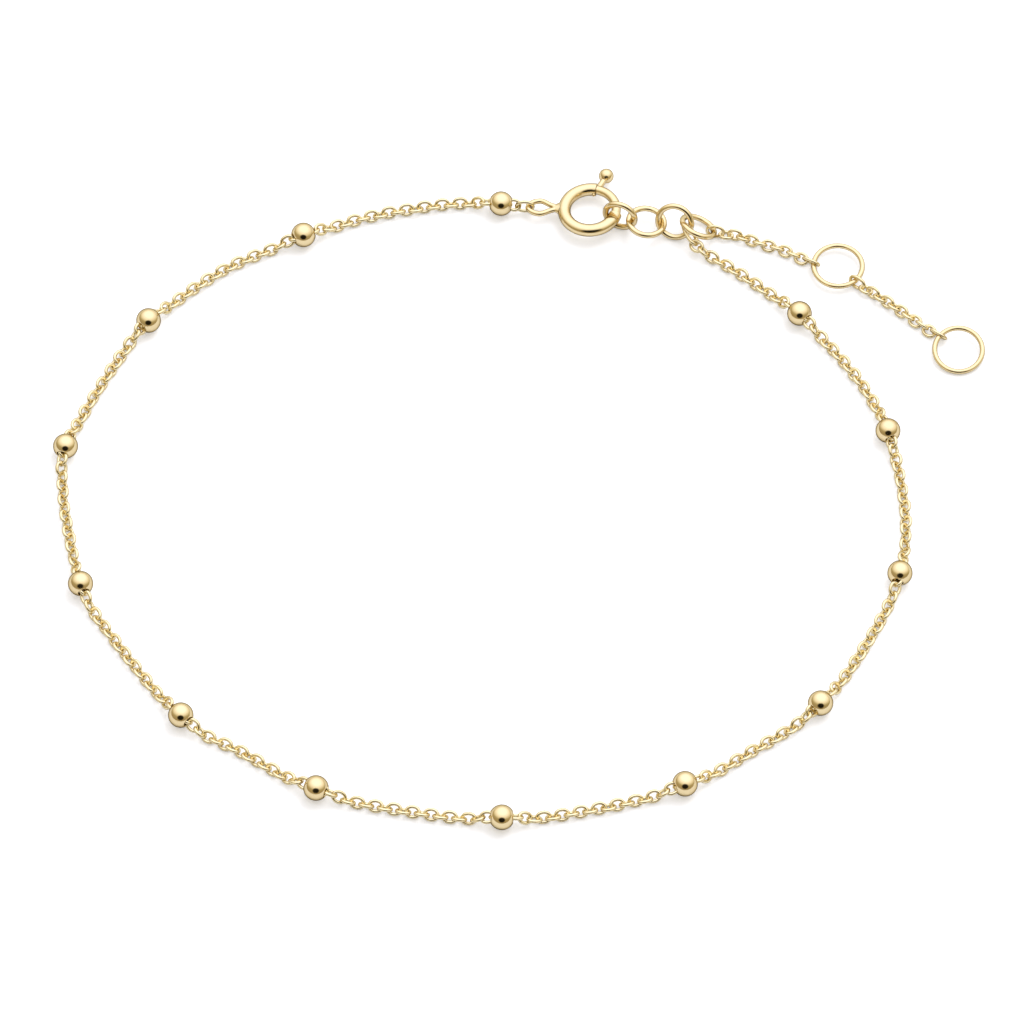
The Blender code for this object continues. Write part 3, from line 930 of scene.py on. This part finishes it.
# The dark shape in front: how high it stands, and its half sizes across and up
SPOT_HEIGHT = math.radians(34)
SPOT_AXES = [
    ((1.0, 0.0, 0.0), 0.54),
    ((0.0, math.sin(SPOT_HEIGHT), math.cos(SPOT_HEIGHT)), 0.45),
]


PAPER_COLOUR = (0.74, 0.74, 0.75, 1)
FLOOR_GAP = 0.02 * MM
KEY_PLACE, KEY_SIZE = (0.24, 0.30, 0.55), 0.45


def dome_world(stage):
    """A white studio: a bank of light overhead, dimmer walls and a dark shape in front."""
    world = bpy.data.worlds.new("Studio Dome")
    bpy.context.scene.world = world
    world.use_nodes = True
    tree = world.node_tree
    background = tree.nodes["Background"]
    output = tree.nodes["World Output"]
    join = tree.links.new
    where = node(tree, "ShaderNodeTexCoord")
    parts = node(tree, "ShaderNodeSeparateXYZ")
    join(where.outputs["Generated"], parts.inputs[0])

    # A broad white light bank leans over from behind; the walls round it are warm and dimmer
    bank = node(tree, "ShaderNodeVectorMath", operation="DOT_PRODUCT")
    bank.inputs[1].default_value = BANK_DIRECTION
    join(where.outputs["Generated"], bank.inputs[0])
    facing = node(tree, "ShaderNodeMath", operation="MULTIPLY_ADD")
    facing.inputs[1].default_value = 0.5
    facing.inputs[2].default_value = 0.5
    join(bank.outputs["Value"], facing.inputs[0])
    walls = node(tree, "ShaderNodeValToRGB")
    ramp = walls.color_ramp
    for spot, (place, shade) in zip(ramp.elements, (DOME_STOPS[0], DOME_STOPS[-1])):
        spot.position, spot.color = place, (*shade, 1)
    for place, shade in DOME_STOPS[1:-1]:
        ramp.elements.new(place).color = (*shade, 1)
    join(facing.outputs[0], walls.inputs["Fac"])

    # A dark shape high in front, wider than it is tall, which each bead shows as a small spot
    spot_size = []
    for axis, half in SPOT_AXES:
        across = node(tree, "ShaderNodeVectorMath", operation="DOT_PRODUCT")
        across.inputs[1].default_value = axis
        join(where.outputs["Generated"], across.inputs[0])
        scaled = node(tree, "ShaderNodeMath", operation="DIVIDE")
        scaled.inputs[1].default_value = half
        join(across.outputs["Value"], scaled.inputs[0])
        squared = node(tree, "ShaderNodeMath", operation="POWER")
        squared.inputs[1].default_value = 2.0
        join(scaled.outputs[0], squared.inputs[0])
        spot_size.append(squared)
    reach = node(tree, "ShaderNodeMath", operation="ADD")
    join(spot_size[0].outputs[0], reach.inputs[0])
    join(spot_size[1].outputs[0], reach.inputs[1])
    spot_mask = node(tree, "ShaderNodeMapRange", interpolation_type="SMOOTHSTEP")
    spot_mask.inputs["From Min"].default_value = 0.45
    spot_mask.inputs["From Max"].default_value = 1.15
    spot_mask.inputs["To Min"].default_value = 0.03
    spot_mask.inputs["To Max"].default_value = 1.0
    join(reach.outputs[0], spot_mask.inputs["Value"])
    ahead = node(tree, "ShaderNodeMath", operation="GREATER_THAN")
    ahead.inputs[1].default_value = -0.1
    join(parts.outputs["Y"], ahead.inputs[0])
    spot = node(tree, "ShaderNodeMath", operation="MAXIMUM")
    join(spot_mask.outputs["Result"], spot.inputs[0])
    join(ahead.outputs[0], spot.inputs[1])
    darkened = node(tree, "ShaderNodeMix", data_type="RGBA", blend_type="MULTIPLY")
    darkened.inputs["Factor"].default_value = 1.0
    join(walls.outputs["Color"], darkened.inputs["A"])
    join(spot.outputs[0], darkened.inputs["B"])
    join(darkened.outputs["Result"], background.inputs["Color"])
    background.inputs["Strength"].default_value = stage.dome

    # What shows directly behind the floor's edge is plain white
    plain = node(tree, "ShaderNodeBackground")
    plain.inputs["Strength"].default_value = 1.0
    rays = node(tree, "ShaderNodeLightPath")
    choose = node(tree, "ShaderNodeMixShader")
    join(rays.outputs["Is Camera Ray"], choose.inputs[0])
    join(background.outputs[0], choose.inputs[1])
    join(plain.outputs[0], choose.inputs[2])
    join(choose.outputs[0], output.inputs["Surface"])


def soft_light(name, place, size, power):
    light = bpy.data.lights.new(name, "AREA")
    light.size = size
    light.energy = power
    obj = bpy.data.objects.new(name, light)
    bpy.context.scene.collection.objects.link(obj)
    obj.location = place
    obj.rotation_euler = (-Vector(place)).to_track_quat("-Z", "Y").to_euler()
    obj.visible_camera = False
    obj.visible_glossy = False
    return obj


class BRACELET_OT_set_stage(bpy.types.Operator):
    """Set the camera, the pale floor and the soft studio light"""

    bl_idname = "bracelet.set_stage"
    bl_label = "Set Stage"

    def execute(self, context):
        stage = context.scene.bracelet_stage
        back = Vector((0, -math.cos(stage.elevation), math.sin(stage.elevation)))
        camera = bpy.data.objects.new("Photo Camera", bpy.data.cameras.new("Photo Camera"))
        context.scene.collection.objects.link(camera)
        camera.data.lens = stage.lens
        camera.data.sensor_width = 36.0
        camera.data.clip_start, camera.data.clip_end = 0.01, 10.0
        camera.location = PHOTO_TARGET + back * stage.distance
        camera.rotation_euler = (math.pi / 2 - stage.elevation, 0, 0)
        context.scene.camera = camera

        half = stage.floor / 2
        floor = make_object("Floor", [(-half, -half, 0), (half, -half, 0), (half, half, 0),
                                      (-half, half, 0)], [(0, 1, 2, 3)])
        floor.location.z = -FLOOR_GAP
        paper = bpy.data.materials.new("Pale Floor")
        paper.use_nodes = True
        shader = paper.node_tree.nodes["Principled BSDF"]
        shader.inputs["Base Color"].default_value = PAPER_COLOUR
        shader.inputs["Roughness"].default_value = 0.7
        shader.inputs["Specular IOR Level"].default_value = 0.1
        shader.inputs["Emission Color"].default_value = (1, 1, 1, 1)
        rays = node(paper.node_tree, "ShaderNodeLightPath")
        lifted = node(paper.node_tree, "ShaderNodeMath", operation="MULTIPLY")
        lifted.inputs[1].default_value = stage.lift
        paper.node_tree.links.new(rays.outputs["Is Camera Ray"], lifted.inputs[0])
        paper.node_tree.links.new(lifted.outputs[0], shader.inputs["Emission Strength"])
        floor.data.materials.append(paper)

        dome_world(stage)
        soft_light("Key Light", KEY_PLACE, KEY_SIZE, stage.key)
        context.scene.view_settings.view_transform = "Standard"
        return {"FINISHED"}


class BRACELET_PT_panel(bpy.types.Panel):
    """The bracelet's pieces and its stage"""

    bl_idname = "BRACELET_PT_panel"
    bl_label = "Station Bead Bracelet"
    bl_space_type = "VIEW_3D"
    bl_region_type = "UI"
    bl_category = "Bracelet"

    def draw(self, context):
        for operator in OPERATORS:
            self.layout.operator(operator.bl_idname)
        for name in SETTINGS:
            settings = getattr(context.scene, name)
            box = self.layout.box()
            for key in settings.bl_rna.properties.keys():
                if key not in ("rna_type", "name"):
                    box.prop(settings, key)


SETTINGS = {
    "bracelet_chain": BraceletChainSizes,
    "bracelet_beads": BraceletBeadSizes,
    "bracelet_clasp": BraceletClaspSizes,
    "bracelet_finish": BraceletFinish,
    "bracelet_stage": BraceletStageSizes,
}

OPERATORS = (
    BRACELET_OT_set_stage,
    BRACELET_OT_lay_cable_chain,
    BRACELET_OT_thread_beads,
    BRACELET_OT_close_rings,
    BRACELET_OT_bend_end_links,
    BRACELET_OT_hang_extender,
    BRACELET_OT_bend_clasp,
    BRACELET_OT_fit_bolt,
)


def register():
    for group in SETTINGS.values():
        bpy.utils.register_class(group)
    for operator in OPERATORS:
        bpy.utils.register_class(operator)
    bpy.utils.register_class(BRACELET_PT_panel)
    for name, group in SETTINGS.items():
        setattr(bpy.types.Scene, name, PointerProperty(type=group))


def unregister():
    for name in SETTINGS:
        delattr(bpy.types.Scene, name)
    bpy.utils.unregister_class(BRACELET_PT_panel)
    for operator in reversed(OPERATORS):
        bpy.utils.unregister_class(operator)
    for group in reversed(SETTINGS.values()):
        bpy.utils.unregister_class(group)


def main():
    register()
    bpy.ops.bracelet.set_stage()
    bpy.ops.bracelet.lay_cable_chain()
    bpy.ops.bracelet.thread_beads()
    bpy.ops.bracelet.close_rings()
    bpy.ops.bracelet.bend_end_links()
    bpy.ops.bracelet.hang_extender()
    bpy.ops.bracelet.bend_clasp()
    bpy.ops.bracelet.fit_bolt()


if __name__ == "__main__":
    main()
